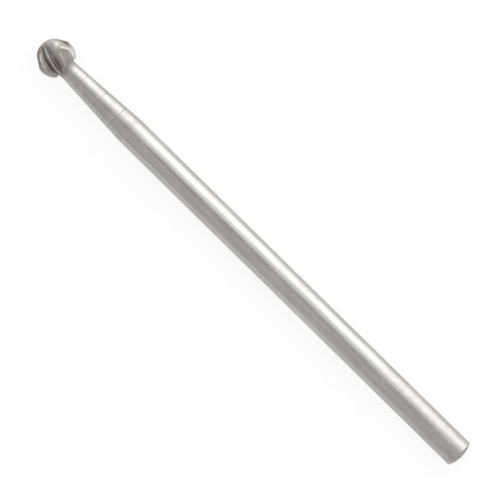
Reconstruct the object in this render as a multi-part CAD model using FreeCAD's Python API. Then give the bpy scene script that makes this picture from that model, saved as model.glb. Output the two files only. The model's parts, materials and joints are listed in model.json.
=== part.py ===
"""Ball bur, a small rotary cutter ground from one bar of tool steel.

The ball carries ten saw-like teeth that wind round it from the flat back to the tip. A slim neck
and a long taper join it to a plain shank, which a handpiece collet grips. The bur lies on a flat
surface, with the ball towards -X and the butt of the shank towards +X. It rests on two teeth and
on the rim of the butt. Lengths are in millimetres and angles in degrees.
"""
import FreeCAD, Part
import math
import os

from FreeCAD import Placement, Rotation, Vector

# Whole bur
OVERALL_LENGTH = 45.5  # from the tip of the ball to the crown of the butt

# Shank, a standard size for a handpiece collet
SHANK_DIAMETER = 2.35
SHANK_LENGTH = 35.9  # parallel length with the crowned butt
BUTT_CROWN = 0.30  # height of the shallow dome on the butt
BUTT_EDGE_RADIUS = 0.06

# Neck, the parallel stretch between the ball and the taper
NECK_DIAMETER = 1.55
NECK_LENGTH = 0.42
NECK_FILLET = 0.05  # where the neck meets the flat back of the ball

# Ball
BALL_DIAMETER = 3.10
BALL_LENGTH = 2.63  # from the tip to the flat back

# Teeth, each with a steep face towards the cut and a long crowned back
TOOTH_COUNT = 10
FIRST_EDGE = -18.0  # azimuth of the first cutting edge, from straight up
TOOTH_DEPTH = 0.36  # of the gullet at the widest part of the ball
FACE_LEAN = 18.0  # of the steep face, away from a plane through the axis
EDGE_LAND = 0.05  # narrow strip of the ball left along each cutting edge
BACK_CROWN = 0.035  # bulge of the back above a straight line, more by the cube of its width
HELIX_ANGLE = 17.0  # at which a tooth with a wind of one crosses planes through the axis
WIND = (1.0, 1.2, 0.3, 0.3, 0.4, 0.6, 0.8, 1.0, 1.0, 1.0)  # share of it that each tooth has
FRONT_REACH = (80.0, 16.0, 76.0, 36.0, 80.0)  # where gullets run out near the tip, in turn
RUN_OUT = (26.0, 42.0, 26.0, 42.0, 26.0)  # swing over which each fades to nothing
NEVER = 90.0
RUN_ON = (-2.0, NEVER, 8.0, NEVER, NEVER)  # where a back begins to run on over a shorter tooth
RUN_ON_SPAN = 38.0  # swing over which it widens from one pitch to two

# Turning marks, fine rings that the lathe tool left on the taper
MARK_DISTANCES = (0.53, 0.84, 1.28, 1.59, 3.56, 5.47)  # behind the flat back of the ball
MARK_WIDTH = 0.09
MARK_DEPTH = 0.012

# Places along the axis, measured from the centre of the ball towards the butt
BALL_RADIUS = BALL_DIAMETER / 2
BACK_X = BALL_LENGTH - BALL_RADIUS
NECK_END_X = BACK_X + NECK_LENGTH
BUTT_X = OVERALL_LENGTH - BALL_RADIUS
SHANK_START_X = BUTT_X - SHANK_LENGTH
BUTT_RIM_X = BUTT_X - BUTT_CROWN
AXIS = Vector(1, 0, 0)
CENTRE = Vector(0, 0, 0)

# Stations of a gullet, as swing angles: 0 at the widest part, +90 at the tip, below 0 to the rear
REAR_SWING = -72.0
SWING_STEP = 9.0
RUN_OUT_STATIONS = ((0.3, 0.92), (0.6, 0.68), (0.85, 0.32), (1.0, 0.08))  # shares: run-out, size
CLEARANCE = 0.12  # how far a grinding shape stands clear of the ball at the cutting edge
TOP_CLEARANCE = 0.45  # how far its top stands clear of the ball
HEEL_RUN = 0.5  # straight run that carries its back on, out of the ball
SAME_PLACE = 0.001  # greatest gap between two lengths that are meant to be one


def point(x, radius):
    """A point of a turned profile, in the plane of the axis and +Z."""
    return Vector(x, 0, radius)


def turned(wire):
    """The solid that a closed profile sweeps round the axis."""
    return Part.Face(wire).revolve(CENTRE, AXIS, 360)


def neck_radius(x):
    """Radius of the neck and of the taper at a place along the axis."""
    if x <= NECK_END_X:
        return NECK_DIAMETER / 2
    share = (x - NECK_END_X) / (SHANK_START_X - NECK_END_X)
    return (NECK_DIAMETER + share * (SHANK_DIAMETER - NECK_DIAMETER)) / 2


def make_stem():
    """Neck, taper, shank and crowned butt as one turned solid, rooted in the ball's centre."""
    neck = NECK_DIAMETER / 2
    shank = SHANK_DIAMETER / 2
    bend = NECK_FILLET * (1 - math.sqrt(0.5))
    crown_radius = (shank ** 2 + BUTT_CROWN ** 2) / (2 * BUTT_CROWN)
    crown_mid = point(
        BUTT_X - crown_radius + math.sqrt(crown_radius ** 2 - (shank / 2) ** 2), shank / 2
    )
    fillet_start = point(BACK_X, neck + NECK_FILLET)
    fillet_end = point(BACK_X + NECK_FILLET, neck)
    rim = point(BUTT_RIM_X, shank)
    crown = point(BUTT_X, 0)
    corners = [CENTRE, point(0, neck), point(BACK_X, neck), fillet_start]
    edges = [Part.LineSegment(a, b).toShape() for a, b in zip(corners, corners[1:])]
    edges.append(Part.Arc(fillet_start, point(BACK_X + bend, neck + bend), fillet_end).toShape())
    corners = [fillet_end, point(NECK_END_X, neck), point(SHANK_START_X, shank), rim]
    edges += [Part.LineSegment(a, b).toShape() for a, b in zip(corners, corners[1:])]
    edges.append(Part.Arc(rim, crown_mid, crown).toShape())
    edges.append(Part.LineSegment(crown, CENTRE).toShape())
    stem = turned(Part.Wire(edges))
    rims = [edge for edge in stem.Edges if is_rim(edge)]
    return stem.makeFillet(BUTT_EDGE_RADIUS, rims)


def is_rim(edge):
    """Whether an edge is the circle where the shank meets its crowned butt."""
    box = edge.BoundBox
    return abs(box.XMin - BUTT_RIM_X) < SAME_PLACE and abs(box.XMax - BUTT_RIM_X) < SAME_PLACE


def make_mark(distance):
    """The ring that one turning mark takes out of the taper."""
    middle = BACK_X + distance
    start = middle - MARK_WIDTH / 2
    end = middle + MARK_WIDTH / 2
    clear = SHANK_DIAMETER
    corners = [
        point(start, neck_radius(start)),
        point(middle, neck_radius(middle) - MARK_DEPTH),
        point(end, neck_radius(end)),
        point(end, clear),
        point(start, clear),
    ]
    return turned(Part.makePolygon(corners + corners[:1]))


def make_ball():
    """The plain ball before its teeth are ground, cut flat at the back."""
    ball = Part.makeSphere(BALL_RADIUS, CENTRE, AXIS)
    rear = Part.makeBox(BALL_DIAMETER, 2 * BALL_DIAMETER, 2 * BALL_DIAMETER)
    rear.translate(Vector(BACK_X, -BALL_DIAMETER, -BALL_DIAMETER))
    return ball.cut(rear)


def edge_azimuth(index, latitude):
    """Place round the axis of a cutting edge, from where the first one is at the widest part."""
    wind = WIND[index % TOOTH_COUNT] * math.tan(math.radians(HELIX_ANGLE))
    return index * 2 * math.pi / TOOTH_COUNT + wind * math.asinh(math.tan(latitude))


def back_width(swing, run_on):
    """Width of a gullet in pitches: one at first, two where its back runs over a shorter tooth."""
    share = min(1.0, max(0.0, (swing - run_on) / RUN_ON_SPAN))
    return 1.0 + share * share * (3.0 - 2.0 * share)


def gullet_section(index, swing, size, width):
    """Closed outline of the grinding shape at one swing angle, as a share of its full size.

    The outline lies in the plane through the ball's centre that the swing angle gives. Its first
    coordinate runs round the ball from the cutting edge, and its second one outwards. The width
    is in pitches. The cutting edge keeps to its helix whatever the width.
    """
    lean = math.radians(FACE_LEAN)
    tilt = math.radians(swing)
    own, after, second = (edge_azimuth(index + step, tilt) for step in range(3))
    room = after - own + (width - 1.0) * (second - after)
    opening = (room - EDGE_LAND / (BALL_RADIUS * math.cos(tilt))) * size
    half_arc = math.atan(math.tan(opening / 2) * math.cos(tilt))
    half_width = BALL_RADIUS * math.sin(half_arc)
    edge_height = BALL_RADIUS * math.cos(half_arc)
    depth = TOOTH_DEPTH * math.cos(tilt) * size
    edge = Vector(-half_width, edge_height, 0)
    outward = edge / BALL_RADIUS
    along = Vector(outward.y, -outward.x, 0)
    face = along * math.sin(lean) - outward * math.cos(lean)
    root = edge + face * (depth / math.cos(lean))
    face_top = edge - face * (CLEARANCE / math.cos(lean))
    heel = Vector(half_width, edge_height, 0)
    chord = heel - root
    crown = BACK_CROWN * math.cos(tilt) * (width * size) ** 3
    back_middle = (root + heel) / 2 + Vector(-chord.y, chord.x, 0).normalize() * crown
    back = Part.Arc(root, back_middle, heel).toShape()
    heel_way = back.tangentAt(back.Curve.parameter(heel))
    heel_clear = heel + heel_way * (HEEL_RUN * math.cos(tilt))
    top = BALL_RADIUS + TOP_CLEARANCE
    corners = [heel, heel_clear, Vector(heel_clear.x, top, 0), Vector(face_top.x, top, 0)]
    corners += [face_top, root]
    edges = [Part.LineSegment(a, b).toShape() for a, b in zip(corners, corners[1:])]
    outline = Part.Wire([back] + edges)
    turn = edge_azimuth(index, math.asin(math.sin(tilt) * math.cos(half_arc))) + opening / 2
    outline.Placement = section_placement(swing, FIRST_EDGE + math.degrees(turn))
    return outline


def section_placement(swing, turn):
    """Stands a flat outline in its plane through the centre, swung over and turned round the axis.

    Before both moves the outline's first coordinate runs along +Y and its second along +Z.
    """
    upright = Rotation(Vector(0, 1, 0), Vector(0, 0, 1), Vector(1, 0, 0), "XYZ")
    swung = Rotation(Vector(0, 1, 0), -swing)
    turned_round = Rotation(AXIS, -turn)
    return Placement(CENTRE, turned_round * swung * upright)


def make_gullet(index):
    """The grinding shape of one gullet, which fades out at its reach towards the tip."""
    period = index % len(FRONT_REACH)
    run_out = RUN_OUT[period]
    full_until = FRONT_REACH[period] - run_out
    steps = round((full_until - REAR_SWING) / SWING_STEP)
    stations = [
        (REAR_SWING + (full_until - REAR_SWING) * step / steps, 1.0) for step in range(steps + 1)
    ]
    stations += [(full_until + run_out * share, size) for share, size in RUN_OUT_STATIONS]
    sections = [
        gullet_section(index, swing, size, back_width(swing, RUN_ON[period]))
        for swing, size in stations
    ]
    return Part.makeLoft(sections, True, False)


def make_toothed_ball():
    """The ball with its gullets ground, which leaves the teeth standing between them."""
    return make_ball().cut([make_gullet(index) for index in range(TOOTH_COUNT)])


def lowest(shape):
    """Height of the lowest point of a shape."""
    return shape.optimalBoundingBox(False, False).ZMin


def lay_down(bur, ball):
    """Lays the bur on two teeth and the rim of its butt, with the middle of its base at the origin."""
    rise = -lowest(ball) - SHANK_DIAMETER / 2
    tilt = math.degrees(math.atan2(rise, BUTT_RIM_X))
    bur.rotate(CENTRE, Vector(0, 1, 0), tilt)
    box = bur.optimalBoundingBox(False, False)
    bur.translate(Vector(-box.Center.x, -box.Center.y, -box.ZMin))


def make_bur():
    """The whole bur as one solid, at rest."""
    ball = make_toothed_ball()
    stem = make_stem().cut([make_mark(distance) for distance in MARK_DISTANCES])
    bur = ball.fuse(stem).removeSplitter()
    lay_down(bur, ball)
    return bur


os.makedirs("parts", exist_ok=True)
bur = make_bur()
bur.exportStep("parts/ball_bur.step")
print("solids", len(bur.Solids), "valid", bur.isValid(), "volume", round(bur.Volume, 3))
for face in bur.Faces:
    surface = face.Surface
    if isinstance(surface, Part.Cylinder) and surface.Radius > SHANK_DIAMETER / 2 - SAME_PLACE:
        print("shank middle", face.CenterOfMass, "axis", surface.Axis)
        print("shank length", face.Area / (math.pi * SHANK_DIAMETER))
print("box", bur.optimalBoundingBox(False, False))
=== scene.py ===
"""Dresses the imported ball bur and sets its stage, as a Blender add-on that is run as a script.

The bur is one closed mesh, ground and turned from one bar of tool steel: a ball with ten teeth, a
neck, a taper, a shank and a crowned butt. It stands for the plain CAD solid. Its shape is worked
out in millimetres from the centre of the ball, with x along the axis towards the butt. The azimuth
is measured round the axis from straight up towards +Y, and the swing at the ball's centre from its
waist towards the tip. Named values are in millimetres and degrees unless they say otherwise.
"""

import json
import math
from types import SimpleNamespace

import bpy
import numpy as np
from mathutils import Matrix, Vector


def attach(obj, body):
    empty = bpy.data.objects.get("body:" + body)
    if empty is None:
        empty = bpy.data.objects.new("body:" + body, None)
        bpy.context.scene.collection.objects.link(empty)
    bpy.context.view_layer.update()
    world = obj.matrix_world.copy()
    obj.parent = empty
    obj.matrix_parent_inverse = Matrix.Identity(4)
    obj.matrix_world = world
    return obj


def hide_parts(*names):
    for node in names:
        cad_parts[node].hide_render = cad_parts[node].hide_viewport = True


bl_info = {
    "name": "Ball bur",
    "version": (1, 0, 0),
    "blender": (4, 5, 0),
    "location": "3D View > Sidebar > Ball bur",
    "description": "Builds a small ball cutter of tool steel on a pale studio floor",
    "category": "Add Mesh",
}

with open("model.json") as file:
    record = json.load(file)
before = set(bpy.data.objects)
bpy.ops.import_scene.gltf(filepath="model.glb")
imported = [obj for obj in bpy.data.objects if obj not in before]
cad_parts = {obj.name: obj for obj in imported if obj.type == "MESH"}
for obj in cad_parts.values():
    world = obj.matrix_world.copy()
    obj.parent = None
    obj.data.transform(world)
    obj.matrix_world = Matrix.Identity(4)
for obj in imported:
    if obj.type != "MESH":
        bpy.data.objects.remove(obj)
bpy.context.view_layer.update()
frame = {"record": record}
SHANK_MOUNT = frame["record"]["mounts"][0]

MM = 0.001
NODE = "ball_bur"

# Gullets, one below each tooth's cutting edge
TOOTH_COUNT = 10
FIRST_EDGE = -18.0  # azimuth of the first cutting edge at the ball's waist
FRONT_REACH = (80.0, 16.0, 76.0, 36.0, 80.0)  # swing at which gullets run out near the tip, in turn
NEVER = 90.0
RUN_ON = (-2.0, NEVER, 8.0, NEVER, NEVER)  # swing at which a back starts to run on over a short tooth
RUN_ON_SPAN = 38.0  # swing over which it widens from one pitch to two
RUN_OUT = (26.0, 42.0, 26.0, 42.0, 26.0)  # swing over which each fades away
HELIX_ANGLE = 17.0  # at which a tooth with a wind of one crosses planes through the axis
WIND = (1.0, 1.2, 0.3, 0.3, 0.4, 0.6, 0.8, 1.0, 1.0, 1.0)  # share of it that each tooth has
FACE_LEAN = 18.0  # of the steep face of a tooth
NARROWEST = 0.08  # share of its width that a gullet's run of columns keeps where it has faded
WIDENING = 2.0  # how fast that run widens again past there

# Turning marks on the taper: millimetres behind the flat back, depth, and painted shade laid in them
TURNING_MARKS = (
    (0.53, 0.012, 0.3), (0.84, 0.012, 0.3), (1.28, 0.012, 0.35), (1.59, 0.012, 0.5),
    (3.56, 0.012, 0.5), (5.47, 0.012, 0.8), (2.18, 0.005, 0.12), (2.53, 0.005, 0.12),
    (5.86, 0.005, 0.15), (6.40, 0.005, 0.15), (6.61, 0.004, 0.12), (6.81, 0.006, 0.25),
)
MARK_WIDTH = 0.09

# Small pits in the ball, as swing, azimuth, radius and depth
PITS = (
    (34.0, 26.0, 0.07, 0.020), (17.0, 24.0, 0.06, 0.016), (10.0, 34.0, 0.06, 0.014),
    (8.0, -24.0, 0.08, 0.020), (11.0, -38.0, 0.07, 0.014), (38.0, -16.0, 0.05, 0.012),
)
PIT_STEEPNESS = 1.6  # radii of fall-off within a pit's own radius

# Wear of the cutting edges, as multiples of the least, drawn at stations along each tooth
WEAR_SEED = 7
WEAR_STATIONS = np.arange(-60.0, 93.0, 3.0)  # swings
EVEN_WEAR = (0.7, 1.6)
CHIP_SHARE = 0.07  # share of the stations with a small chip
CHIP_WEAR = (1.0, 2.5)  # added there
WIDEST_WEAR = 0.08  # of a cutting edge, in pitches

# Brownish films on the ball, partly real stains and partly painted shade, which darkens the crescent
# and the tooth backs that mirror the shadowed floor and dims a patch of highlight. As swing, azimuth,
# reach in swing and in azimuth, strength, and the share of it that also lies where the steel is rubbed
STAINS_AND_PAINTED_SHADE = (
    (-4.0, -29.0, 52.0, 22.0, 1.0, 0.0), (58.0, -28.0, 18.0, 34.0, 0.9, 0.9),
    (-20.0, -2.0, 34.0, 14.0, 0.35, 0.0), (16.0, 38.0, 12.0, 10.0, 0.4, 0.0),
    (6.0, 46.0, 14.0, 10.0, 0.5, 0.3), (-30.0, 30.0, 30.0, 20.0, 0.25, 0.0),
    (32.0, 74.0, 30.0, 12.0, 2.6, 0.9), (0.0, -68.0, 60.0, 20.0, 1.0, 0.3),
    (-30.0, -46.0, 20.0, 15.0, 0.4, 0.2), (60.0, -70.0, 20.0, 40.0, 0.6, 0.2),
    (24.0, -64.0, 14.0, 14.0, 0.7, 0.6),
    (0.0, 150.0, 50.0, 34.0, 0.7, 0.0), (10.0, -130.0, 40.0, 30.0, 0.6, 0.0),
)

# Columns of mesh over one pitch, as the corner or run that each belongs to and its share of it
EDGE, FACE, ROOT, BACK, HEEL, LAND = range(6)
COLUMNS = (
    [(EDGE, share) for share in (0.0, 0.5, 1.0)]
    + [(FACE, share) for share in (0.34, 0.67)]
    + [(ROOT, share) for share in (0.0, 0.25, 0.5, 0.75, 1.0)]
    + [(BACK, step / 10) for step in range(1, 10)]
    + [(HEEL, share) for share in (0.0, 0.5, 1.0)]
    + [(LAND, step / 6) for step in range(1, 6)]
)
# How much of the stains and painted shade holds in each column: most on the back, none where the edge
# is rubbed bright
COLUMN_HOLD = np.array(
    [0.1, 0.0, 0.1] + [0.15] * 2 + [0.2] * 5 + [0.4, 0.7, 0.9] + [1.0] * 6 + [0.9, 0.3, 0.1]
    + [0.1] * 5
)
# Painted shade darkening each gullet's recess, and the share of it in each column: most at the root,
# less up the back
GULLET_PAINTED_SHADE = (0.75, 0.3, 0.3, 0.3, 0.3, 0.3, 0.3, 0.3, 0.3, 0.1)
COLUMN_PAINTED_SHADE = np.array(
    [0.0] * 3 + [0.2, 0.5] + [0.8] * 5 + [0.7, 0.6, 0.6, 0.5, 0.4, 0.25, 0.1, 0.0, 0.0] + [0.0] * 8
)
REAR_PAINTED_SHADE = 0.6  # share of it behind the first of these swings, all of it from the second on
PAINTED_SHADE_SWINGS = (5.0, 30.0)
KIND = np.array([kind for kind, share in COLUMNS])
SHARE = np.array([share for kind, share in COLUMNS])
RUBBED = (KIND != ROOT) & (KIND != BACK)  # columns that only the covering stains and painted shade reach

# Where the rounded corners of a tooth begin and end
BACK_FROM, BACK_SPAN = 0.08, 0.84  # shares of a back's arc that its own columns cover
ROOT_AIM, HEEL_AIM = 0.2, 0.85  # shares of the arc towards which the root and the heel round off
HEEL_ROUND = (2.0, 0.8)  # reach on the back and on the land, in reaches of the edge
LAND_REACH = 1.5  # room for the next edge, in the same

# Mesh of the ball
BALL_ROWS = 138
REAR_SWING, FRONT_SWING = -48.0, 89.3
FIRST_SWINGS = (-75.0, -20.0)  # between which each column meets the flat back
HALVINGS = 40
CROWDING = 6  # power by which the rows bend towards the flat back
TURNS = 12  # rounds that find the section through a point
FAR_SIDE = 1.2  # radians from a gullet's middle beyond which it can't reach

# Mesh of the stem
BACK_RINGS = (0.06, 0.35, 0.68)  # shares of the way from the ball's rim in to the neck
FILLET_STEPS = 5
STEM_STEP = 0.15  # between the rings of the neck and the taper
STEM_START = 0.06  # from the fillet to the first of them
BREAK_MARGIN = 0.03  # between the break at the shank's start and the rings beside it
SHANK_RUN = 2.0  # from the break to the first of the shank's own rings
SHANK_RINGS, RIM_RINGS, CROWN_RINGS = 16, 7, 14
EVEN_SPAN = 0.5  # over which the columns of the ball become evenly spaced
FACE_MARGIN = 0.0001  # keeps the flat back with the ball
SHARP_ANGLE = 42.0  # between faces, above which an edge is shaded sharp

# Films on the stem: painted shade with duller steel close behind the ball, where the ball shades the
# neck, and duller steel on the end by the butt
NECK_PAINTED_SHADE, NECK_PAINTED_SHADE_REACH = 0.6, 0.42
BUTT_FILM = 0.25
BUTT_FILM_FROM, BUTT_FILM_SPAN = 31.0, 8.0

# Finishes
DULL_SHARE = 0.87  # brightness of smeared or patchy steel against the clean
SCRATCHED_SHARE = 0.45  # of the butt's deep scratches
SHANK_STAIN, NECK_SHADE_SHARE = 0.5, 0.6  # how much of a full film colours the shank, and how much of the painted shade colours the neck
SMEAR_ROUGHNESS = 0.05  # added by a smear
SHANK_FILM_ROUGHNESS, NECK_FILM_ROUGHNESS = 0.4, 0.45  # added by a full film
TOOTH_SHIFT = 7.3  # keeps the scratches of two teeth apart in the noise

# Stage, in metres
FLOOR_HALF = 3.0
SIDE_PANEL = {"size": (2.65, 1.1), "place": (-0.425, 1.0, 0.55), "turn": (-90, 0, 0)}
UPPER_PANEL = {"size": (2.2, 0.75), "place": (-0.4, 0.75, 1.30), "turn": (-30, 0, 0)}
HOOD_HALF = (0.06, 0.026)
HOOD_PLACE = (-0.045, -0.004)
HOOD_DROP = 0.15  # below the camera
CAMERA_PLACE = (-0.125 * MM, -0.092 * MM)
AXIS_HEIGHT = 1.3 * MM  # of the bur above the floor
SENSOR_WIDTH = 36.0  # the camera's own millimetres


def edge_azimuth(index, latitude):
    """Place round the axis of a cutting edge, in radians, for latitudes towards the tip."""
    wind = WIND[index % TOOTH_COUNT] * math.tan(math.radians(HELIX_ANGLE))
    start = math.radians(FIRST_EDGE + index * 360 / TOOTH_COUNT)
    return start + wind * np.arcsinh(np.tan(latitude))


def back_width(index, swing):
    """Width of a gullet in pitches: one at first, two where its back runs over a short tooth."""
    share = np.clip((swing - RUN_ON[index % len(RUN_ON)]) / RUN_ON_SPAN, 0, 1)
    return 1 + share ** 2 * (3 - 2 * share)


def linear(code):
    """An sRGB hex colour as linear values for a colour socket."""
    parts = [int(code[i:i + 2], 16) / 255 for i in (1, 3, 5)]
    return [v / 12.92 if v <= 0.04045 else ((v + 0.055) / 1.055) ** 2.4 for v in parts] + [1.0]


class BurSizes(bpy.types.PropertyGroup):
    """Sizes of the bur, in metres."""

    shank_diameter: bpy.props.FloatProperty(
        name="Shank diameter", description="Parallel shank that a collet grips",
        default=2.35 * MM, unit="LENGTH", precision=5)
    neck_diameter: bpy.props.FloatProperty(
        name="Neck diameter", description="Neck just behind the ball",
        default=1.55 * MM, unit="LENGTH", precision=5)
    neck_length: bpy.props.FloatProperty(
        name="Neck length", description="Parallel stretch between the ball and the taper",
        default=0.42 * MM, unit="LENGTH", precision=5)
    neck_fillet: bpy.props.FloatProperty(
        name="Neck fillet", description="Radius where the neck meets the flat back of the ball",
        default=0.05 * MM, unit="LENGTH", precision=5)
    shank_length: bpy.props.FloatProperty(
        name="Shank length", description="Shank with its crowned butt",
        default=35.9 * MM, unit="LENGTH", precision=5)
    overall_length: bpy.props.FloatProperty(
        name="Overall length", description="From the tip of the ball to the crown of the butt",
        default=45.5 * MM, unit="LENGTH", precision=5)
    butt_crown: bpy.props.FloatProperty(
        name="Butt crown", description="Height of the dome on the butt",
        default=0.30 * MM, unit="LENGTH", precision=5)
    butt_edge: bpy.props.FloatProperty(
        name="Butt edge", description="Radius of the rim of the butt",
        default=0.06 * MM, unit="LENGTH", precision=5)
    ball_diameter: bpy.props.FloatProperty(
        name="Ball diameter", description="Round the cutting edges",
        default=3.10 * MM, unit="LENGTH", precision=5)
    ball_length: bpy.props.FloatProperty(
        name="Ball length", description="From the tip to the flat back",
        default=2.63 * MM, unit="LENGTH", precision=5)
    tooth_depth: bpy.props.FloatProperty(
        name="Tooth depth", description="Depth of a gullet at the ball's waist",
        default=0.36 * MM, unit="LENGTH", precision=5)
    edge_land: bpy.props.FloatProperty(
        name="Edge land", description="Strip of the ball left along each cutting edge",
        default=0.05 * MM, unit="LENGTH", precision=5)
    back_crown: bpy.props.FloatProperty(
        name="Back crown", description="Bulge of a tooth's back",
        default=0.035 * MM, unit="LENGTH", precision=5)
    edge_wear: bpy.props.FloatProperty(
        name="Edge wear", description="How far use has rounded the cutting edges",
        default=0.012 * MM, unit="LENGTH", precision=5)
    root_round: bpy.props.FloatProperty(
        name="Root round", description="How far the rounding at the bottom of a gullet reaches",
        default=0.045 * MM, unit="LENGTH", precision=5)


class BurFinish(bpy.types.PropertyGroup):
    """Colours of the steel."""

    shank_steel: bpy.props.FloatVectorProperty(
        name="Shank steel", description="Colour of the ground shank",
        default=linear("#B3B1AF"), size=4, min=0.0, max=1.0, subtype="COLOR")
    neck_steel: bpy.props.FloatVectorProperty(
        name="Neck steel", description="Colour of the turned taper",
        default=linear("#B0AEAC"), size=4, min=0.0, max=1.0, subtype="COLOR")
    tooth_steel: bpy.props.FloatVectorProperty(
        name="Tooth steel", description="Colour of the clean ball",
        default=linear("#B2B0AD"), size=4, min=0.0, max=1.0, subtype="COLOR")
    # Also the colour of the painted shade on the ball's backs and gullets, behind the ball and in the
    # turning marks
    stain_and_shade: bpy.props.FloatVectorProperty(
        name="Stain", description="Colour of the film left on the ball",
        default=linear("#686059"), size=4, min=0.0, max=1.0, subtype="COLOR")
    butt_steel: bpy.props.FloatVectorProperty(
        name="Butt steel", description="Colour of the rough butt",
        default=linear("#B5B3B1"), size=4, min=0.0, max=1.0, subtype="COLOR")


class StageLook(bpy.types.PropertyGroup):
    """Floor, light and camera."""

    floor_colour: bpy.props.FloatVectorProperty(
        name="Floor", description="Colour of the floor",
        default=linear("#E9E9E8"), size=4, min=0.0, max=1.0, subtype="COLOR")
    floor_lift: bpy.props.FloatProperty(
        name="Floor lift", description="Share of the floor's look that is plain white",
        default=0.86, min=0.0, max=1.0)
    world_level: bpy.props.FloatProperty(
        name="World level", description="Brightness of the grey room round the bur", default=0.81)
    side_level: bpy.props.FloatProperty(
        name="Side panel level", description="Brightness of the tall light panel beside the bur",
        default=1.73)
    upper_level: bpy.props.FloatProperty(
        name="Upper panel level", description="Brightness of the panel above it", default=0.64)
    camera_height: bpy.props.FloatProperty(
        name="Camera height", description="Height of the camera above the bur's axis",
        default=0.60, unit="LENGTH")
    view_width: bpy.props.FloatProperty(
        name="View width", description="Width that the picture takes in", default=38.64 * MM,
        unit="LENGTH", precision=5)
    view_turn: bpy.props.FloatProperty(
        name="View turn", description="Turn of the camera about the upright",
        default=math.radians(44.49), subtype="ANGLE")


def in_mm(sizes, name):
    """A size in millimetres."""
    return getattr(sizes, name) / MM


def stations(sizes):
    """Places along the axis: flat back, end of the neck, start of the shank, butt's rim and crown."""
    ball_radius = in_mm(sizes, "ball_diameter") / 2
    back = in_mm(sizes, "ball_length") - ball_radius
    butt = in_mm(sizes, "overall_length") - ball_radius
    return SimpleNamespace(
        back=back, neck_end=back + in_mm(sizes, "neck_length"),
        shank_start=butt - in_mm(sizes, "shank_length"),
        rim=butt - in_mm(sizes, "butt_crown"), butt=butt)


def unit(vectors):
    """The vectors at length one."""
    return vectors / np.linalg.norm(vectors, axis=-1, keepdims=True)


def corner(start, point, end, share):
    """A place on the curve that rounds a corner."""
    share = share[..., None]
    return (1 - share) ** 2 * start + 2 * share * (1 - share) * point + share ** 2 * end


def cut_towards(point, other, reach):
    """The place at a distance from a corner towards another point, at most a third of the way."""
    span = other - point
    length = np.linalg.norm(span, axis=-1, keepdims=True)
    return point + span * np.minimum(reach[..., None] / np.maximum(length, 1e-9), 0.33)


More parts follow.
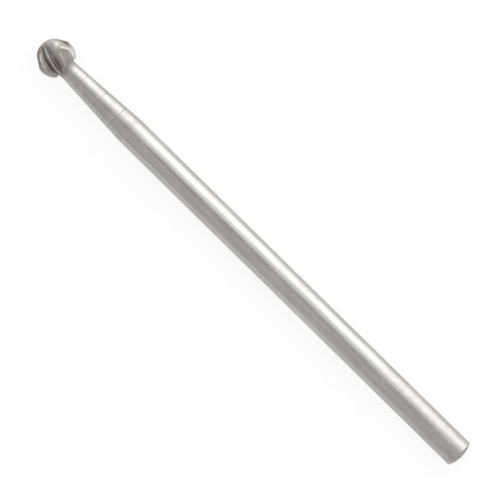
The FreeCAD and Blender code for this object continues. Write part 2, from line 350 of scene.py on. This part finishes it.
class Gullet:
    """One gullet and the land behind it, as points of the ball at given swings."""

    def __init__(self, sizes, index, wear):
        self.radius = in_mm(sizes, "ball_diameter") / 2
        self.depth = in_mm(sizes, "tooth_depth")
        self.land = in_mm(sizes, "edge_land")
        self.crown = in_mm(sizes, "back_crown")
        self.edge_wear = in_mm(sizes, "edge_wear")
        self.root_round = in_mm(sizes, "root_round")
        self.index = index
        self.wear = wear

    def fading(self, index, swing):
        """Shares of full depth and of full width that a gullet has at the swings."""
        reach, run_out = FRONT_REACH[index % len(RUN_OUT)], RUN_OUT[index % len(RUN_OUT)]
        past = np.clip((swing - (reach - run_out)) / run_out, 0, None)
        deep = np.clip(1 - past ** 2, 0, None)
        spread = np.clip(past - 1, 0, None) * WIDENING
        return deep, np.clip(np.maximum(deep, NARROWEST) + spread, None, 1.0)

    def place(self, across, height, swing, middle):
        """Points from places across and out of a section's plane through the centre."""
        lean = np.radians(swing)
        around = np.radians(middle)
        outward = height * np.cos(lean)
        return np.stack([
            -height * np.sin(lean),
            outward * np.sin(around) + across * np.cos(around),
            outward * np.cos(around) - across * np.sin(around),
        ], -1)

    def section(self, index, swing, width):
        """Cutting edge, root, heel, bulge, middle and half arc of a gullet's sections at the swings.

        The places are flat, in a plane through the ball's centre. The width is in pitches.
        """
        deep, wide = self.fading(index, swing)
        tilt = np.radians(swing)
        pitch = 2 * math.pi / TOOTH_COUNT
        local = np.maximum(self.radius * np.cos(tilt), 1e-6)
        own, after, second = (edge_azimuth(index + step, tilt) for step in range(3))
        room = after - own + (width - 1) * (second - after)
        opening = (room - np.minimum(self.land / local, pitch / 2)) * wide
        half_arc = np.arctan(np.tan(opening / 2) * np.cos(tilt))
        half, tall = self.radius * np.sin(half_arc), self.radius * np.cos(half_arc)
        depth = self.depth * np.cos(tilt)
        along = np.stack([tall, half], -1) / self.radius
        outward = np.stack([-half, tall], -1) / self.radius
        edge = np.stack([-half, tall], -1)
        run = (depth * wide * math.tan(math.radians(FACE_LEAN)))[..., None]
        root = edge + along * run - outward * (depth * deep)[..., None]
        heel = np.stack([half, tall], -1)
        chord = heel - root
        normal = unit(np.stack([-chord[..., 1], chord[..., 0]], -1))
        bulge = normal * (self.crown * np.cos(tilt) * (width * deep) ** 3)[..., None]
        latitude = np.arcsin(np.sin(tilt) * np.cos(half_arc))
        middle = np.degrees(edge_azimuth(index, latitude) + opening / 2)
        return edge, root, heel, bulge, middle, half_arc

    def lowered(self, points):
        """The points brought down to this gullet's back where it runs on over the next tooth."""
        out = np.linalg.norm(points, axis=-1)
        latitude = np.arcsin(-points[..., 0] / out)
        azimuth = np.arctan2(points[..., 1], points[..., 2])
        tilt = latitude
        for _ in range(TURNS):
            width = back_width(self.index, np.degrees(tilt))
            section = self.section(self.index, np.degrees(tilt), width)
            root, heel, bulge, middle, half_arc = section[1:]
            away = (azimuth - np.radians(middle) + math.pi) % (2 * math.pi) - math.pi
            tilt = np.arctan2(np.sin(latitude), np.cos(latitude) * np.cos(away))
        angle = np.arcsin(np.cos(latitude) * np.sin(away))
        rise = np.maximum(np.linalg.norm(bulge, axis=-1), 1e-6)
        half_chord = np.linalg.norm(heel - root, axis=-1) / 2
        arc = (half_chord ** 2 + rise ** 2) / (2 * rise)
        centre = (root + heel) / 2 + bulge / rise[..., None] * (rise - arc)[..., None]
        ray = np.stack([np.sin(angle), np.cos(angle)], -1)
        reach = (ray * centre).sum(-1)
        inner = np.maximum(reach ** 2 - (centre ** 2).sum(-1) + arc ** 2, 0)
        level = reach + np.sqrt(inner)
        root_angle = np.arctan2(root[..., 0], root[..., 1])
        inside = (angle > root_angle) & (angle < half_arc) & (width > 1.0)
        level = np.where(inside & (np.abs(away) < FAR_SIDE), np.minimum(out, level), out)
        return points * (level / out)[..., None]

    def points(self, swing):
        """Points of this gullet's columns, one column of swings for each."""
        edge, root, heel, bulge, middle, _ = self.section(self.index, swing, 1.0)
        after = self.section(self.index + 1, swing, 1.0)
        deep = self.fading(self.index, swing)[0]
        pitch_width = self.radius * np.cos(np.radians(swing)) * 2 * math.pi / TOOTH_COUNT
        worn = self.edge_wear * self.wear(self.index, swing)
        edge_reach = np.minimum(worn, WIDEST_WEAR * pitch_width)
        root_reach = np.full_like(swing, self.root_round)
        edge_3, root_3, heel_3 = (
            self.place(p[..., 0], p[..., 1], swing, middle) for p in (edge, root, heel))
        next_edge = self.place(after[0][..., 0], after[0][..., 1], swing, after[4])
        before = self.turned(edge_3, -edge_reach)

        def back(part):
            rise = 4 * part * (1 - part)
            flat = root + (heel - root) * part[..., None] + bulge * rise[..., None]
            return self.place(flat[..., 0], flat[..., 1], swing, middle)

        back_start = cut_towards(root_3, back(np.full_like(swing, ROOT_AIM)), root_reach)
        heel_aim = back(np.full_like(swing, HEEL_AIM))
        back_end = cut_towards(heel_3, heel_aim, edge_reach * HEEL_ROUND[0])
        face_start = cut_towards(edge_3, root_3, edge_reach)
        face_end = cut_towards(root_3, edge_3, root_reach)
        land_start = self.turned(heel_3, edge_reach * HEEL_ROUND[1])
        land_end = self.turned(next_edge, -edge_reach * LAND_REACH)
        grid = np.broadcast_to(SHARE, swing.shape)
        runs = {
            EDGE: corner(before, edge_3, face_start, grid),
            FACE: face_start + (face_end - face_start) * grid[..., None],
            ROOT: corner(face_end, root_3, back_start, grid),
            BACK: back(BACK_FROM + BACK_SPAN * grid),
            HEEL: corner(back_end, heel_3, land_start, grid),
            LAND: self.on_ball(land_start + (land_end - land_start) * grid[..., None]),
        }
        made = np.empty(swing.shape + (3,))
        for kind, run in runs.items():
            made[:, KIND == kind] = run[:, KIND == kind]
        faded = (deep <= 0)[..., None]
        return np.where(faded, self.on_ball(made), made)

    def on_ball(self, points):
        """The points moved out or in to the ball."""
        return unit(points) * self.radius

    def turned(self, points, reach):
        """The points moved round the axis by a distance."""
        radius = np.hypot(points[..., 1], points[..., 2])
        angle = reach / np.maximum(radius, 1e-3)
        cos, sin = np.cos(angle), np.sin(angle)
        return np.stack([
            points[..., 0],
            points[..., 1] * cos + points[..., 2] * sin,
            points[..., 2] * cos - points[..., 1] * sin,
        ], -1)


def edge_wear_pattern():
    """How much more than the least each cutting edge is worn, by tooth and swing."""
    random = np.random.default_rng(WEAR_SEED)
    shape = (TOOTH_COUNT, len(WEAR_STATIONS))
    worn = random.uniform(*EVEN_WEAR, shape)
    chips = random.random(shape) < CHIP_SHARE
    worn += chips * random.uniform(*CHIP_WEAR, shape)

    def wear(index, swing):
        return np.interp(swing, WEAR_STATIONS, worn[index])

    return wear


def ball_rows(sizes):
    """Rows of points over the ball from the tip to its flat back, with their hold and painted gullet
    shade.
    """
    back_x = stations(sizes).back
    wear = edge_wear_pattern()
    share = np.linspace(0, 1, BALL_ROWS)[:, None]
    gullets = [Gullet(sizes, index, wear) for index in range(TOOTH_COUNT)]
    rings, hold, gullet_shade = [], [], []
    for gullet in gullets:
        low, high = (np.full((1, len(COLUMNS)), swing) for swing in FIRST_SWINGS)
        for _ in range(HALVINGS):
            middle = (low + high) / 2
            behind = gullet.points(middle)[..., 0] > back_x
            low, high = np.where(behind, middle, low), np.where(behind, high, middle)
        start = (low + high) / 2
        swing = REAR_SWING + (FRONT_SWING - REAR_SWING) * share
        swing = swing + (start - REAR_SWING) * (1 - share) ** CROWDING
        rings.append(gullet.points(swing))
        deep = gullet.fading(gullet.index, swing)[0]
        next_deep = gullet.fading((gullet.index + 1) % TOOTH_COUNT, swing)[0]
        crisp = np.where(KIND >= HEEL, np.minimum(deep, next_deep), deep)
        hold.append(1 - (1 - COLUMN_HOLD) * crisp)
        # Painted shade in the gullet's recess, weaker towards the rear where the gullet shades itself
        lasting = np.interp(swing, PAINTED_SHADE_SWINGS, (REAR_PAINTED_SHADE, 1.0))
        gullet_shade.append(GULLET_PAINTED_SHADE[gullet.index] * COLUMN_PAINTED_SHADE * deep * lasting)
    for gullet in gullets:
        if RUN_ON[gullet.index % len(RUN_ON)] < NEVER:
            after = (gullet.index + 1) % TOOTH_COUNT
            own = gullet.lowered(rings[gullet.index])
            rings[gullet.index] = np.where((KIND >= BACK)[:, None], own, rings[gullet.index])
            rings[after] = gullet.lowered(rings[after])
    return [np.concatenate(parts, 1)[::-1] for parts in (rings, hold, gullet_shade)]


def sink_pits(points, radius):
    """Sinks the small pits into the ball."""
    for swing, azimuth, reach, depth in PITS:
        lean, around = math.radians(swing), math.radians(azimuth)
        centre = radius * np.array([
            -math.sin(lean), math.cos(lean) * math.sin(around), math.cos(lean) * math.cos(around)
        ])
        away = np.linalg.norm(points - centre, axis=-1, keepdims=True)
        points = points - unit(points) * depth * np.exp(-(away / reach * PIT_STEEPNESS) ** 2)
    return points


def mark_shape(behind, distance):
    """Share of a turning mark's depth at places behind the flat back of the ball."""
    away = np.clip(np.abs(behind - distance) / (MARK_WIDTH / 2), 0, 1)
    return np.cos(away * math.pi / 2) ** 2


def taper_radius(sizes, x):
    """Radius of the neck, the taper and the shank, with the turning marks."""
    at = stations(sizes)
    neck, shank = in_mm(sizes, "neck_diameter") / 2, in_mm(sizes, "shank_diameter") / 2
    radius = np.interp(x, [at.neck_end, at.shank_start], [neck, shank])
    for distance, depth, _ in TURNING_MARKS:
        radius = radius - depth * mark_shape(x - at.back, distance)
    return radius


def stem_profile(sizes):
    """Places along the axis and radii of the stem, from the flat back to the crown of the butt."""
    at = stations(sizes)
    neck, shank = in_mm(sizes, "neck_diameter") / 2, in_mm(sizes, "shank_diameter") / 2
    fillet, crown, edge = (in_mm(sizes, n) for n in ("neck_fillet", "butt_crown", "butt_edge"))
    turn = np.radians(np.linspace(0, 90, FILLET_STEPS))
    profile = [
        (at.back + fillet * (1 - math.cos(a)), neck + fillet * (1 - math.sin(a))) for a in turn
    ]
    xs = set(np.round(np.arange(at.back + fillet + STEM_START, at.shank_start, STEM_STEP), 4))
    for distance, _, _ in TURNING_MARKS:
        xs |= {round(at.back + distance + MARK_WIDTH * step / 4, 4) for step in range(-2, 3)}
    xs |= {at.shank_start + beside for beside in (-BREAK_MARGIN, 0, BREAK_MARGIN)}
    profile += [(x, float(taper_radius(sizes, x))) for x in sorted(xs)]
    dome = (shank ** 2 + crown ** 2) / (2 * crown)
    dome_x = at.butt - dome
    rim_radius = shank - edge
    rim_x = dome_x + math.sqrt((dome - edge) ** 2 - rim_radius ** 2)
    profile += [(x, shank) for x in np.linspace(at.shank_start + SHANK_RUN, rim_x, SHANK_RINGS)]
    last = math.atan2(rim_x - dome_x, rim_radius)
    for angle in np.linspace(0, last, RIM_RINGS)[1:]:
        profile.append((rim_x + edge * math.sin(angle), rim_radius + edge * math.cos(angle)))
    start = math.pi / 2 - last
    for angle in np.linspace(start, 0, CROWN_RINGS)[1:-1]:
        profile.append((dome_x + dome * math.cos(angle), dome * math.sin(angle)))
    return profile


def bur_rows(sizes):
    """Rows of points over the whole bur, its two ends, and the ball's hold and painted gullet shade."""
    ball, hold, gullet_shade = ball_rows(sizes)
    radius = in_mm(sizes, "ball_diameter") / 2
    ball = sink_pits(ball, radius)
    rim = ball[-1]
    rim_azimuth = np.unwrap(np.arctan2(rim[:, 1], rim[:, 2]))
    rim_radius = np.hypot(rim[:, 1], rim[:, 2])
    count = len(rim_azimuth)
    even = rim_azimuth[0] + np.arange(count) * 2 * math.pi / count
    profile = stem_profile(sizes)
    neck_x, neck_radius = profile[0]
    rings = []
    for part in BACK_RINGS:
        here = rim_radius + (neck_radius - rim_radius) * part
        rings.append(ring(neck_x, here, rim_azimuth))
    for x, around in profile:
        part = min(1.0, max(0.0, (x - profile[FILLET_STEPS - 1][0]) / EVEN_SPAN))
        rings.append(ring(x, np.full(count, around), rim_azimuth + (even - rim_azimuth) * part))
    rows = np.concatenate([ball, np.array(rings)], 0)
    tip, butt = np.array([-radius, 0, 0]), np.array([stations(sizes).butt, 0, 0])
    return rows, tip, butt, hold, gullet_shade


def ring(x, radius, azimuth):
    """Points round the axis."""
    y, z = radius * np.sin(azimuth), radius * np.cos(azimuth)
    return np.stack([np.full_like(azimuth, x), y, z], -1)


def axis_frame(sizes):
    """The matrix from the bur's own millimetres to the scene, as the CAD lays it down."""
    along = Vector(SHANK_MOUNT["axis"]).normalized()
    side = Vector((0, 1, 0))
    up = along.cross(side)
    place = Vector(SHANK_MOUNT["pos_m"])
    shank_start = sizes.overall_length - sizes.ball_diameter / 2 - sizes.shank_length
    centre = place - along * (shank_start + SHANK_MOUNT["dims"]["length_mm"] * MM / 2)
    matrix = Matrix((along, side, up)).transposed().to_4x4()
    matrix.translation = centre
    return matrix @ Matrix.Diagonal((MM, MM, MM, 1))


def add(tree, kind, inputs=None, **settings):
    """Adds a node with its settings, and links or sets its inputs."""
    node = tree.nodes.new(kind)
    for name, value in settings.items():
        setattr(node, name, value)
    for name, value in (inputs or {}).items():
        if isinstance(value, bpy.types.NodeSocket):
            tree.links.new(value, node.inputs[name])
        else:
            node.inputs[name].default_value = value
    return node


def shade(colour, share):
    """A darker tone of a linear colour."""
    return [value * share for value in colour[:3]] + [1.0]


def new_material(name):
    """A material with its tree emptied, and the tree."""
    material = bpy.data.materials.new(name)
    material.use_nodes = True
    material.node_tree.nodes.clear()
    return material, material.node_tree


def finish_material(tree, colour, roughness, height, strength, distance):
    """Joins colour, roughness and relief to a metal shader."""
    bump = add(tree, "ShaderNodeBump", {
        "Height": height, "Strength": strength, "Distance": distance})
    shader = add(tree, "ShaderNodeBsdfPrincipled", {
        "Base Color": colour, "Roughness": roughness, "Metallic": 1.0,
        "Normal": bump.outputs["Normal"]})
    add(tree, "ShaderNodeOutputMaterial", {"Surface": shader.outputs["BSDF"]})


def shank_steel(finish):
    """Tool steel, centreless ground and lightly polished: bright, with fine rings and soft smears."""
    material, tree = new_material("centreless_ground_tool_steel")
    place = add(tree, "ShaderNodeAttribute", attribute_name="place").outputs["Vector"]
    # The wheel's rings stand 0.15 mm apart and finer round the shank
    stretched = add(tree, "ShaderNodeMapping", {"Vector": place, "Scale": (7.0, 0.5, 0.5)})
    rings = add(tree, "ShaderNodeTexNoise", {
        "Vector": stretched.outputs[0], "Scale": 1.0, "Detail": 4.0, "Roughness": 0.6})
    # Handling has left smears about 3 mm long and 0.6 mm wide, which take the shine down a little
    stretched = add(tree, "ShaderNodeMapping", {"Vector": place, "Scale": (0.35, 1.6, 1.6)})
    smears = add(tree, "ShaderNodeTexNoise", {
        "Vector": stretched.outputs[0], "Scale": 1.0, "Detail": 4.0, "Roughness": 0.6})
    smeared = add(tree, "ShaderNodeMapRange", {
        "Value": smears.outputs["Fac"], "From Min": 0.35, "From Max": 0.65})
    clean = add(tree, "ShaderNodeMix", {
        0: smeared.outputs[0], 6: shade(finish.shank_steel, DULL_SHARE), 7: finish.shank_steel},
        data_type="RGBA")
    # Towards the butt the shank is duller, with small spots 0.4 mm across
    film_and_shade = add(tree, "ShaderNodeAttribute", attribute_name="film_and_shade").outputs["Fac"]
    spots = add(tree, "ShaderNodeTexNoise", {
        "Vector": place, "Scale": 2.5, "Detail": 3.0, "Roughness": 0.6})
    spotted = add(tree, "ShaderNodeMapRange", {
        "Value": spots.outputs["Fac"], "From Min": 0.42, "From Max": 0.62})
    darkened = add(tree, "ShaderNodeMath", {0: film_and_shade, 1: SHANK_STAIN}, operation="MULTIPLY")
    spotted = add(tree, "ShaderNodeMath", {
        0: spotted.outputs[0], 1: darkened.outputs[0]}, operation="MULTIPLY")
    colour = add(tree, "ShaderNodeMix", {
        0: spotted.outputs[0], 6: clean.outputs[2], 7: finish.stain_and_shade}, data_type="RGBA")
    rough = add(tree, "ShaderNodeMapRange", {
        "Value": rings.outputs["Fac"], "From Min": 0.3, "From Max": 0.7,
        "To Min": 0.20, "To Max": 0.30})
    rough = add(tree, "ShaderNodeMath", {
        0: smeared.outputs[0], 1: SMEAR_ROUGHNESS, 2: rough.outputs[0]}, operation="MULTIPLY_ADD")
    rough = add(tree, "ShaderNodeMath", {
        0: film_and_shade, 1: SHANK_FILM_ROUGHNESS, 2: rough.outputs[0]}, operation="MULTIPLY_ADD")
    finish_material(tree, colour.outputs[2], rough.outputs[0], rings.outputs["Fac"],
                    strength=0.25, distance=0.004 * MM)
    return material


def neck_steel(finish):
    """Tool steel, turned and left as cut: fine rings from the lathe tool, dull next to the ball, with
    painted shade there and in the marks.
    """
    material, tree = new_material("turned_tool_steel")
    place = add(tree, "ShaderNodeAttribute", attribute_name="place").outputs["Vector"]
    film_and_shade = add(tree, "ShaderNodeAttribute", attribute_name="film_and_shade").outputs["Fac"]
    # The lathe tool's feed leaves rings about 0.11 mm apart
    stretched = add(tree, "ShaderNodeMapping", {"Vector": place, "Scale": (9.0, 0.3, 0.3)})
    rings = add(tree, "ShaderNodeTexNoise", {
        "Vector": stretched.outputs[0], "Scale": 1.0, "Detail": 3.0, "Roughness": 0.6})
    # Soft patches about 1 mm across, where the cut is duller
    patches = add(tree, "ShaderNodeTexNoise", {
        "Vector": place, "Scale": 1.0, "Detail": 3.0, "Roughness": 0.5})
    dull = add(tree, "ShaderNodeMapRange", {
        "Value": patches.outputs["Fac"], "From Min": 0.35, "From Max": 0.65})
    clean = add(tree, "ShaderNodeMix", {
        0: dull.outputs[0], 6: shade(finish.neck_steel, DULL_SHARE), 7: finish.neck_steel},
        data_type="RGBA")
    # On the neck the film is painted shade, close behind the ball and in the turning marks, and it also
    # dulls the steel
    darkened = add(tree, "ShaderNodeMath", {0: film_and_shade, 1: NECK_SHADE_SHARE}, operation="MULTIPLY")
    colour = add(tree, "ShaderNodeMix", {
        0: darkened.outputs[0], 6: clean.outputs[2], 7: finish.stain_and_shade}, data_type="RGBA")
    rough = add(tree, "ShaderNodeMapRange", {
        "Value": rings.outputs["Fac"], "From Min": 0.3, "From Max": 0.7,
        "To Min": 0.26, "To Max": 0.36})
    rough = add(tree, "ShaderNodeMath", {
        0: film_and_shade, 1: NECK_FILM_ROUGHNESS, 2: rough.outputs[0]}, operation="MULTIPLY_ADD")
    finish_material(tree, colour.outputs[2], rough.outputs[0], rings.outputs["Fac"],
                    strength=0.4, distance=0.006 * MM)
    return material


def tooth_steel(finish):
    """Hardened tool steel, ground with a fine wheel: crisp, with brownish stains and painted shade in
    the gullets and on the backs.
    """
    material, tree = new_material("ground_hardened_tool_steel")
    place = add(tree, "ShaderNodeAttribute", attribute_name="place").outputs["Vector"]
    film_and_shade = add(tree, "ShaderNodeAttribute", attribute_name="film_and_shade").outputs["Fac"]
    lay = add(tree, "ShaderNodeAttribute", attribute_name="lay").outputs["Vector"]
    # The wheel's scratches run along each tooth, 0.07 mm apart and finer
    stretched = add(tree, "ShaderNodeMapping", {"Vector": lay, "Scale": (14.0, 1.2, 1.0)})
    scratches = add(tree, "ShaderNodeTexNoise", {
        "Vector": stretched.outputs[0], "Scale": 1.0, "Detail": 3.0, "Roughness": 0.6})
    # The stains and painted shade are uneven, in patches about 0.4 mm across
    patches = add(tree, "ShaderNodeTexNoise", {
        "Vector": place, "Scale": 2.5, "Detail": 4.0, "Roughness": 0.6})
    uneven = add(tree, "ShaderNodeMapRange", {
        "Value": patches.outputs["Fac"], "From Min": 0.3, "From Max": 0.7,
        "To Min": -0.12, "To Max": 0.18})
    dark = add(tree, "ShaderNodeMath", {0: film_and_shade, 1: uneven.outputs[0]}, use_clamp=True)
    colour = add(tree, "ShaderNodeMix", {
        0: dark.outputs[0], 6: finish.tooth_steel, 7: finish.stain_and_shade}, data_type="RGBA")
    rough = add(tree, "ShaderNodeMapRange", {
        "Value": scratches.outputs["Fac"], "From Min": 0.3, "From Max": 0.7,
        "To Min": 0.26, "To Max": 0.38})
    finish_material(tree, colour.outputs[2], rough.outputs[0], scratches.outputs["Fac"],
                    strength=0.3, distance=0.004 * MM)
    return material


def butt_steel(finish):
    """Tool steel, cut off and rough-ground: dull, with coarse crossing scratches."""
    material, tree = new_material("rough_ground_tool_steel")
    place = add(tree, "ShaderNodeAttribute", attribute_name="place").outputs["Vector"]
    # Scratches and specks 0.1 to 0.4 mm across
    stretched = add(tree, "ShaderNodeMapping", {"Vector": place, "Scale": (4.0, 9.0, 2.5)})
    grit = add(tree, "ShaderNodeTexNoise", {
        "Vector": stretched.outputs[0], "Scale": 1.0, "Detail": 4.0, "Roughness": 0.6})
    specks = add(tree, "ShaderNodeMapRange", {
        "Value": grit.outputs["Fac"], "From Min": 0.35, "From Max": 0.65})
    colour = add(tree, "ShaderNodeMix", {
        0: specks.outputs[0], 6: shade(finish.butt_steel, SCRATCHED_SHARE), 7: finish.butt_steel},
        data_type="RGBA")
    rough = add(tree, "ShaderNodeMapRange", {
        "Value": grit.outputs["Fac"], "From Min": 0.3, "From Max": 0.7,
        "To Min": 0.38, "To Max": 0.52})
    finish_material(tree, colour.outputs[2], rough.outputs[0], grit.outputs["Fac"],
                    strength=0.5, distance=0.012 * MM)
    return material


class BUR_OT_body(bpy.types.Operator):
    """Makes the bur, from the tip of the ball to the butt of the shank, in place of its CAD solid"""

    bl_idname = "bur.make_body"
    bl_label = "Make bur"

    def execute(self, context):
        sizes, finish = context.scene.bur_sizes, context.scene.bur_finish
        rows, tip, butt, hold, gullet_shade = bur_rows(sizes)
        row_count, columns = rows.shape[:2]
        points = np.concatenate([rows.reshape(-1, 3), [tip, butt]])
        tip_at, butt_at = len(points) - 2, len(points) - 1
        beside = [(c, (c + 1) % columns) for c in range(columns)]
        faces = []
        for row in range(0, (row_count - 1) * columns, columns):
            after = row + columns
            faces += [(row + d, row + c, after + c, after + d) for c, d in beside]
        last = (row_count - 1) * columns
        faces += [(tip_at, c, d) for c, d in beside]
        faces += [(butt_at, last + d, last + c) for c, d in beside]
        mesh = bpy.data.meshes.new("bur_body")
        mesh.from_pydata([tuple(p) for p in points], [], faces)
        self.attributes(mesh, sizes, points, self.film_and_shade(sizes, points, hold.ravel(), gullet_shade.ravel()))
        for make in (tooth_steel, neck_steel, shank_steel, butt_steel):
            mesh.materials.append(make(finish))
        self.regions(mesh, sizes)
        mesh.transform(axis_frame(sizes))
        mesh.shade_smooth()
        mesh.set_sharp_from_angle(angle=math.radians(SHARP_ANGLE))
        body = bpy.data.objects.new("bur_body", mesh)
        context.scene.collection.objects.link(body)
        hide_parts(NODE)
        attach(body, "root")
        return {"FINISHED"}

    def film_and_shade(self, sizes, points, hold, gullet_shade):
        """How dark the stains and painted shade are at each point: the ball's rows first, the tip and
        the butt last.
        """
        azimuth, swing = (np.degrees(angle) for angle in self.angles(points[:len(hold)]))
        rubbed = np.resize(RUBBED, len(hold)) * (1 - hold)
        ball = np.zeros(len(hold))
        # Stains, with painted shade where the ball mirrors the shadowed floor and over part of its
        # highlight
        for at_swing, at_azimuth, along, round_it, strength, cover in STAINS_AND_PAINTED_SHADE:
            away = (azimuth - at_azimuth + 180) % 360 - 180
            near = ((swing - at_swing) / along) ** 2 + (away / round_it) ** 2
            ball += strength * np.exp(-near) * (hold + rubbed * cover)
        behind = points[len(hold):-2, 0] - stations(sizes).back
        # Painted shade on the neck close behind the ball, where the ball shades it
        stem = NECK_PAINTED_SHADE * np.exp(-(np.clip(behind, 0, None) / NECK_PAINTED_SHADE_REACH) ** 4)
        # Painted shade laid in the turning marks
        for distance, _, mark_shade in TURNING_MARKS:
            stem += mark_shade * mark_shape(behind, distance)
        stem += BUTT_FILM * np.clip((behind - BUTT_FILM_FROM) / BUTT_FILM_SPAN, 0, 1)
        return np.clip(np.concatenate([ball + gullet_shade, stem, [0, 0]]), 0, 1)

    def angles(self, points):
        """Azimuth and swing of the points, in radians."""
        out = np.hypot(points[:, 1], points[:, 2])
        return np.arctan2(points[:, 1], points[:, 2]), np.arctan2(-points[:, 0], out)

    def attributes(self, mesh, sizes, points, film_and_shade):
        """Stores what the finishes read: the bur's own millimetres, its stains and painted shade, and
        the grinding's lay.
        """
        radius = in_mm(sizes, "ball_diameter") / 2
        azimuth, swing = self.angles(points)
        pitch = 2 * math.pi / TOOTH_COUNT
        from_edge = azimuth - edge_azimuth(0, swing)
        tooth = np.floor(from_edge / pitch)
        across = (from_edge - tooth * pitch) * radius * np.cos(swing)
        lay = np.stack([across, swing * radius, tooth * TOOTH_SHIFT], -1)
        for name, vectors in (("place", points), ("lay", lay)):
            stored = mesh.attributes.new(name, "FLOAT_VECTOR", "POINT")
            stored.data.foreach_set("vector", vectors.ravel())
        mesh.attributes.new("film_and_shade", "FLOAT", "POINT").data.foreach_set("value", film_and_shade)

    def regions(self, mesh, sizes):
        """Gives each face the finish of its stretch of the bur."""
        at = stations(sizes)
        starts = (at.back + FACE_MARGIN, at.shank_start, at.rim)
        for face in mesh.polygons:
            face.material_index = sum(face.center.x > start for start in starts)


class BUR_OT_stage(bpy.types.Operator):
    """Makes the floor, the light and the camera"""

    bl_idname = "bur.make_stage"
    bl_label = "Make stage"

    def execute(self, context):
        look = context.scene.bur_stage
        self.floor(context, look)
        self.world(context, look)
        self.panel(context, "side_panel", look.side_level, **SIDE_PANEL)
        self.panel(context, "upper_panel", look.upper_level, **UPPER_PANEL)
        self.hood(context, look)
        self.camera(context, look)
        return {"FINISHED"}

    def sheet(self, context, name, half_x, half_y, material):
        """A level sheet of one face, centred on the origin."""
        mesh = bpy.data.meshes.new(name)
        turns = ((-1, -1), (1, -1), (1, 1), (-1, 1))
        mesh.from_pydata([(half_x * x, half_y * y, 0) for x, y in turns], [], [(0, 1, 2, 3)])
        mesh.materials.append(material)
        sheet = bpy.data.objects.new(name, mesh)
        context.scene.collection.objects.link(sheet)
        return sheet

    def floor(self, context, look):
        """A pale sheet that the camera and the steel see as nearly white, and that keeps a shadow."""
        material, tree = new_material("matt_studio_paper")
        path = add(tree, "ShaderNodeLightPath").outputs
        seen = add(tree, "ShaderNodeMath", {
            0: path["Is Camera Ray"], 1: path["Is Glossy Ray"]}, operation="MAXIMUM")
        seen = add(tree, "ShaderNodeMath", {
            0: seen.outputs[0], 1: path["Is Transmission Ray"]}, operation="MAXIMUM")
        lift = add(tree, "ShaderNodeMath", {
            0: seen.outputs[0], 1: look.floor_lift}, operation="MULTIPLY")
        paper = add(tree, "ShaderNodeMix", {
            0: lift.outputs[0], 6: look.floor_colour, 7: (0, 0, 0, 1)}, data_type="RGBA")
        shader = add(tree, "ShaderNodeBsdfPrincipled", {
            "Base Color": paper.outputs[2], "Roughness": 0.3, "Emission Color": (1, 1, 1, 1),
            "Emission Strength": lift.outputs[0]})
        add(tree, "ShaderNodeOutputMaterial", {"Surface": shader.outputs["BSDF"]})
        sheet = self.sheet(context, "studio_floor", FLOOR_HALF, FLOOR_HALF, material)

    def world(self, context, look):
        """An even grey room."""
        world = bpy.data.worlds.new("grey_room")
        world.use_nodes = True
        world.node_tree.nodes.clear()
        level = look.world_level
        light = add(world.node_tree, "ShaderNodeBackground", {
            "Color": (level, level, level, 1), "Strength": 1.0})
        add(world.node_tree, "ShaderNodeOutputWorld", {"Surface": light.outputs[0]})
        context.scene.world = world

    def panel(self, context, name, level, size, place, turn):
        """A flat soft light of a given brightness."""
        light = bpy.data.lights.new(name, "AREA")
        light.shape = "RECTANGLE"
        light.size, light.size_y = size
        light.energy = level * math.pi * size[0] * size[1]
        lamp = bpy.data.objects.new(name, light)
        lamp.location = place
        lamp.rotation_euler = [math.radians(a) for a in turn]
        lamp.visible_camera = False
        context.scene.collection.objects.link(lamp)

    def hood(self, context, look):
        """The dark hood over the bur, which the top of the shank reflects as a faint dark line."""
        material, tree = new_material("matt_black_plastic")
        shader = add(tree, "ShaderNodeBsdfPrincipled", {
            "Base Color": linear("#151515"), "Roughness": 0.8})
        add(tree, "ShaderNodeOutputMaterial", {"Surface": shader.outputs["BSDF"]})
        hood = self.sheet(context, "lens_hood", *HOOD_HALF, material)
        hood.location = (*HOOD_PLACE, look.camera_height - HOOD_DROP)
        hood.visible_camera = False

    def camera(self, context, look):
        """A long lens straight above the bur, turned so that it lies from corner to corner."""
        data = bpy.data.cameras.new("camera")
        data.sensor_width = SENSOR_WIDTH
        data.lens = data.sensor_width * look.camera_height / look.view_width
        camera = bpy.data.objects.new("camera", data)
        camera.location = (*CAMERA_PLACE, look.camera_height + AXIS_HEIGHT)
        camera.rotation_euler = (0, 0, look.view_turn)
        context.scene.collection.objects.link(camera)
        context.scene.camera = camera
        context.scene.view_settings.view_transform = "Standard"


class BUR_PT_sidebar(bpy.types.Panel):
    """Lists the bur's sizes and finishes and the steps that build it"""

    bl_idname = "BUR_PT_sidebar"
    bl_label = "Ball bur"
    bl_space_type = "VIEW_3D"
    bl_region_type = "UI"
    bl_category = "Ball bur"

    def draw(self, context):
        for group in (context.scene.bur_sizes, context.scene.bur_finish, context.scene.bur_stage):
            for name in group.bl_rna.properties.keys():
                if name not in {"rna_type", "name"}:
                    self.layout.prop(group, name)
        for operator in OPERATORS:
            self.layout.operator(operator.bl_idname)


GROUPS = {"bur_sizes": BurSizes, "bur_finish": BurFinish, "bur_stage": StageLook}
OPERATORS = (BUR_OT_body, BUR_OT_stage)


def register():
    """Adds the property groups, the operators and the panel to Blender."""
    for name, group in GROUPS.items():
        bpy.utils.register_class(group)
        setattr(bpy.types.Scene, name, bpy.props.PointerProperty(type=group))
    for kind in OPERATORS + (BUR_PT_sidebar,):
        bpy.utils.register_class(kind)


def unregister():
    """Takes them out again."""
    for kind in reversed(OPERATORS + (BUR_PT_sidebar,)):
        bpy.utils.unregister_class(kind)
    for name, group in reversed(GROUPS.items()):
        delattr(bpy.types.Scene, name)
        bpy.utils.unregister_class(group)


def main():
    """Builds the bur and its stage."""
    register()
    bpy.ops.bur.make_body()
    bpy.ops.bur.make_stage()


if __name__ == "__main__":
    main()
